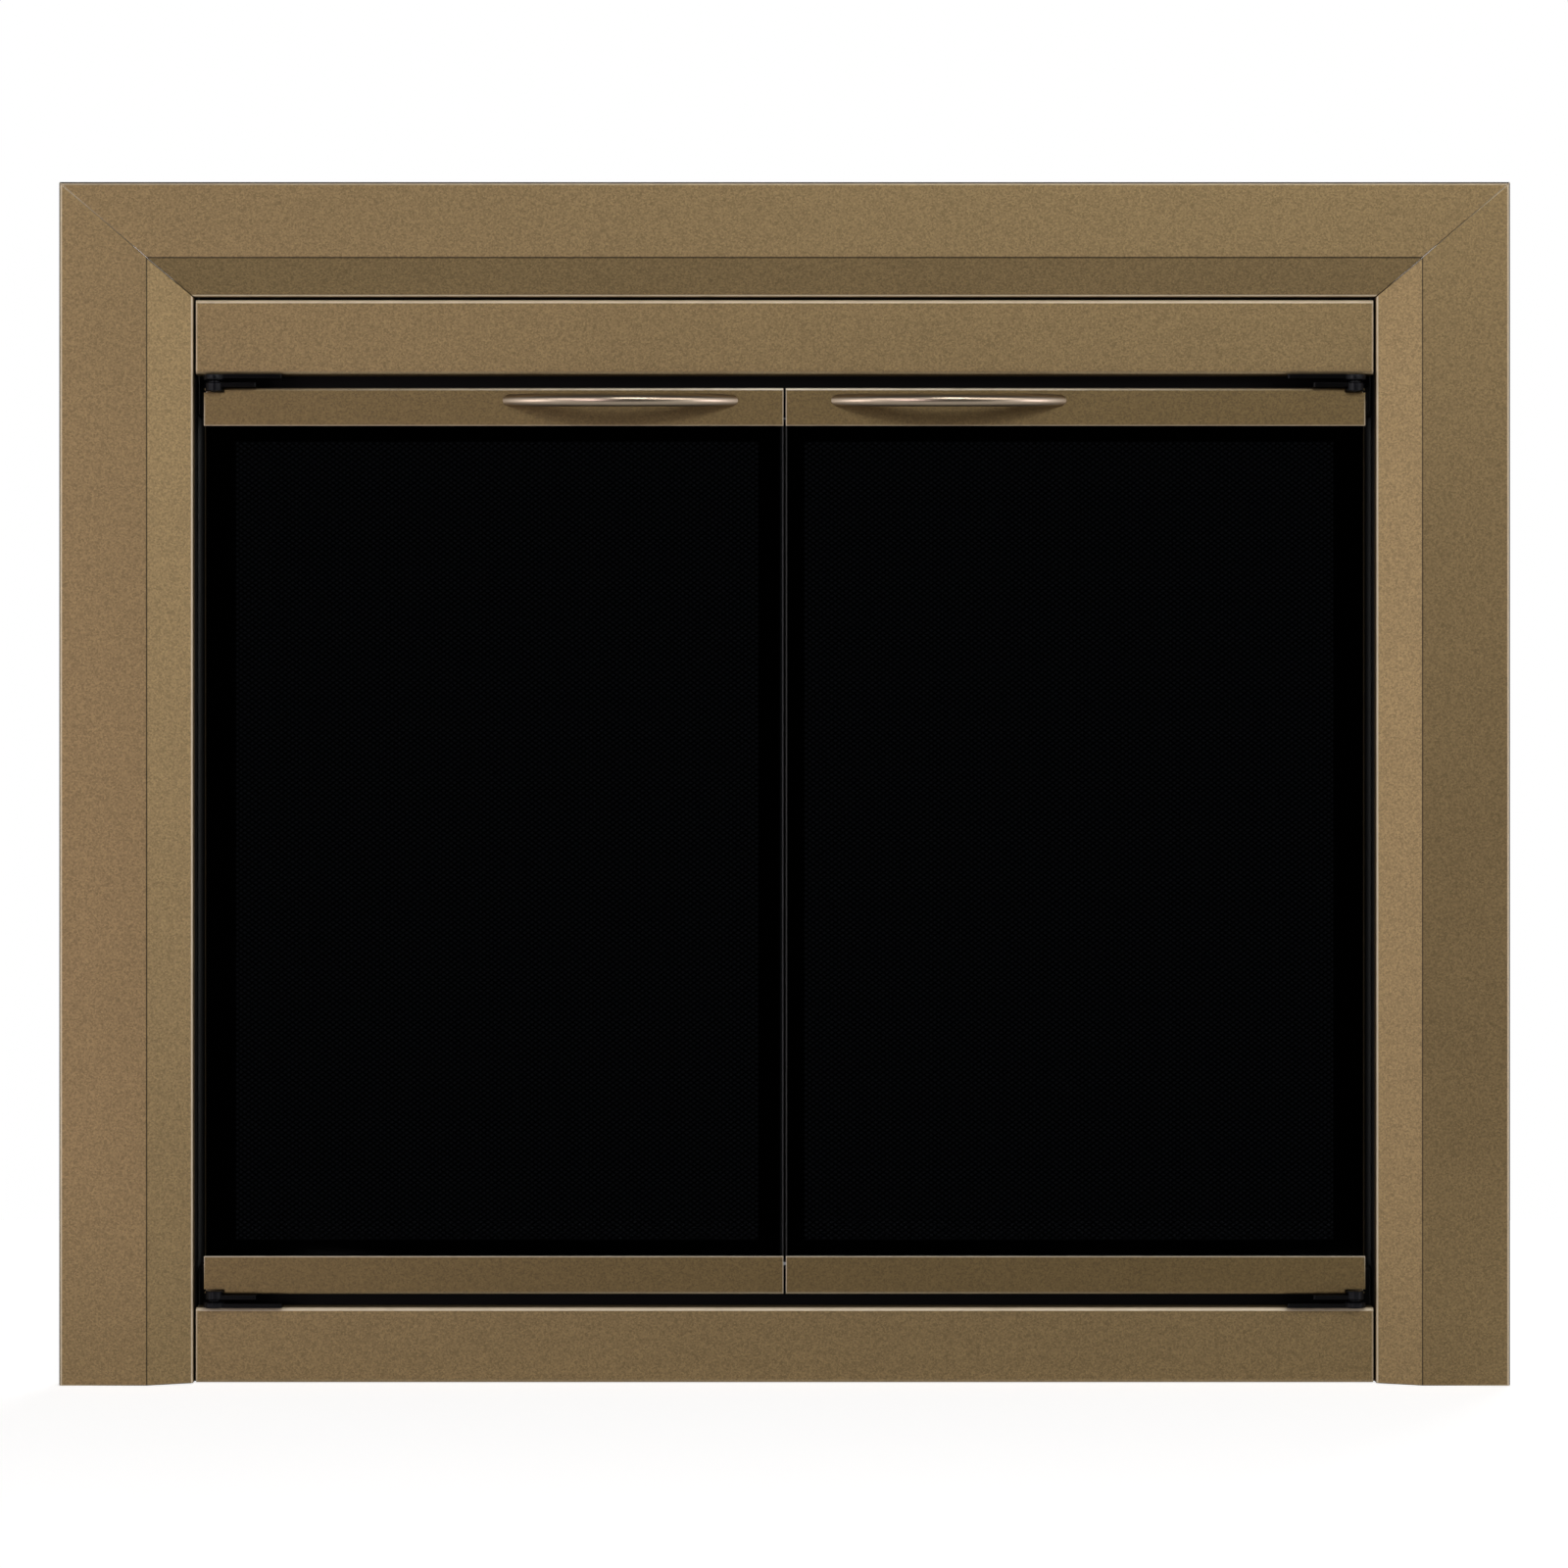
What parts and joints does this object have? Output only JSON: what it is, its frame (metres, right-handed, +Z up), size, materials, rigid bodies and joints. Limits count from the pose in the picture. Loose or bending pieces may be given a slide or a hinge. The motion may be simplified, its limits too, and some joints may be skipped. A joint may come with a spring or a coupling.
{
  "type": "fireplace glass door",
  "caption": "Overlap-fit fireplace door set: mitred bevelled steel frame, plain panels, side-hinged smoked glass doors with bow handles, and framed mesh gates behind the glass.",
  "frame": {"origin": "underside of the bottom panel at mid width, in the plane of the wall that the frame laps onto", "axes": "+X to the right seen from the room, +Y back into the fireplace opening, +Z up"},
  "size_m": [0.9524, 0.0923, 0.79],
  "materials": {
    "frame_paint": "satin champagne powder coat with a fine metallic speckle",
    "door_paint": "satin champagne powder coat",
    "handle_metal": "semi-gloss champagne lacquer over steel",
    "black_steel": "satin black heat-resistant paint",
    "pivot_black": "semi-gloss black paint",
    "gate_steel": "matt black heat-resistant paint",
    "mesh_steel": "matt black wire",
    "smoked_glass": "smoked tempered glass with ground edges",
    "gasket_fibre": "dark woven heat-resistant fibre",
    "zinc_plate": "zinc plated steel",
    "catch_plastic": "matt black heat-resistant plastic"
  },
  "bodies": {
    "frame": {"top_rail": "frame_paint", "left_stile": "frame_paint", "right_stile": "frame_paint", "left_corner_bracket": "zinc_plate", "right_corner_bracket": "zinc_plate", "top_panel": "frame_paint", "bottom_panel": "frame_paint", "head_bar": "black_steel", "sill_bar": "black_steel", "left_jamb": "black_steel", "right_jamb": "black_steel", "left_lower_jamb_screw": "zinc_plate", "left_upper_jamb_screw": "zinc_plate", "right_lower_jamb_screw": "zinc_plate", "right_upper_jamb_screw": "zinc_plate", "left_lintel_clamp": "zinc_plate", "right_lintel_clamp": "zinc_plate", "left_lintel_bolt": "zinc_plate", "right_lintel_bolt": "zinc_plate", "left_floor_bracket": "zinc_plate", "right_floor_bracket": "zinc_plate", "left_catch": "catch_plastic", "right_catch": "catch_plastic", "left_upper_frame_pivot": "pivot_black", "left_lower_frame_pivot": "pivot_black", "right_upper_frame_pivot": "pivot_black", "right_lower_frame_pivot": "pivot_black"},
    "left_door": {"left_glass": "smoked_glass", "left_door_top_rail": "door_paint", "left_door_bottom_rail": "door_paint", "left_glass_top_liner": "gasket_fibre", "left_glass_bottom_liner": "gasket_fibre", "left_handle": "handle_metal", "left_handle_inner_screw": "zinc_plate", "left_handle_outer_screw": "zinc_plate", "left_upper_door_pivot": "pivot_black", "left_lower_door_pivot": "pivot_black", "left_upper_pivot_pin": "pivot_black", "left_lower_pivot_pin": "pivot_black"},
    "right_door": {"right_glass": "smoked_glass", "right_door_top_rail": "door_paint", "right_door_bottom_rail": "door_paint", "right_glass_top_liner": "gasket_fibre", "right_glass_bottom_liner": "gasket_fibre", "right_handle": "handle_metal", "right_handle_inner_screw": "zinc_plate", "right_handle_outer_screw": "zinc_plate", "right_upper_door_pivot": "pivot_black", "right_lower_door_pivot": "pivot_black", "right_upper_pivot_pin": "pivot_black", "right_lower_pivot_pin": "pivot_black"},
    "left_gate": {"left_gate_frame": "gate_steel", "left_gate_mesh": "mesh_steel", "left_gate_knob": "gate_steel"},
    "right_gate": {"right_gate_frame": "gate_steel", "right_gate_mesh": "mesh_steel", "right_gate_knob": "gate_steel"}
  },
  "joints": [
    {"name": "left_door_hinge", "type": "hinge", "parent": "frame", "child": "left_door", "pos_m": [-0.37595, -0.012, 0.3572], "axis": [0, 0, -1], "range_deg": [0, 110]},
    {"name": "right_door_hinge", "type": "hinge", "parent": "frame", "child": "right_door", "pos_m": [0.37595, -0.012, 0.3572], "axis": [0, 0, 1], "range_deg": [0, 110]},
    {"name": "left_gate_hinge", "type": "hinge", "parent": "frame", "child": "left_gate", "pos_m": [-0.34995, 0.019, 0.3571], "axis": [0, 0, -1], "range_deg": [0, 88]},
    {"name": "right_gate_hinge", "type": "hinge", "parent": "frame", "child": "right_gate", "pos_m": [0.34995, 0.019, 0.3571], "axis": [0, 0, 1], "range_deg": [0, 88]}
  ],
  "couplings": [
    {"joint": "left_gate_hinge", "follows": "left_door_hinge", "ratio": 0.8},
    {"joint": "right_gate_hinge", "follows": "right_door_hinge", "ratio": 0.8}
  ]
}
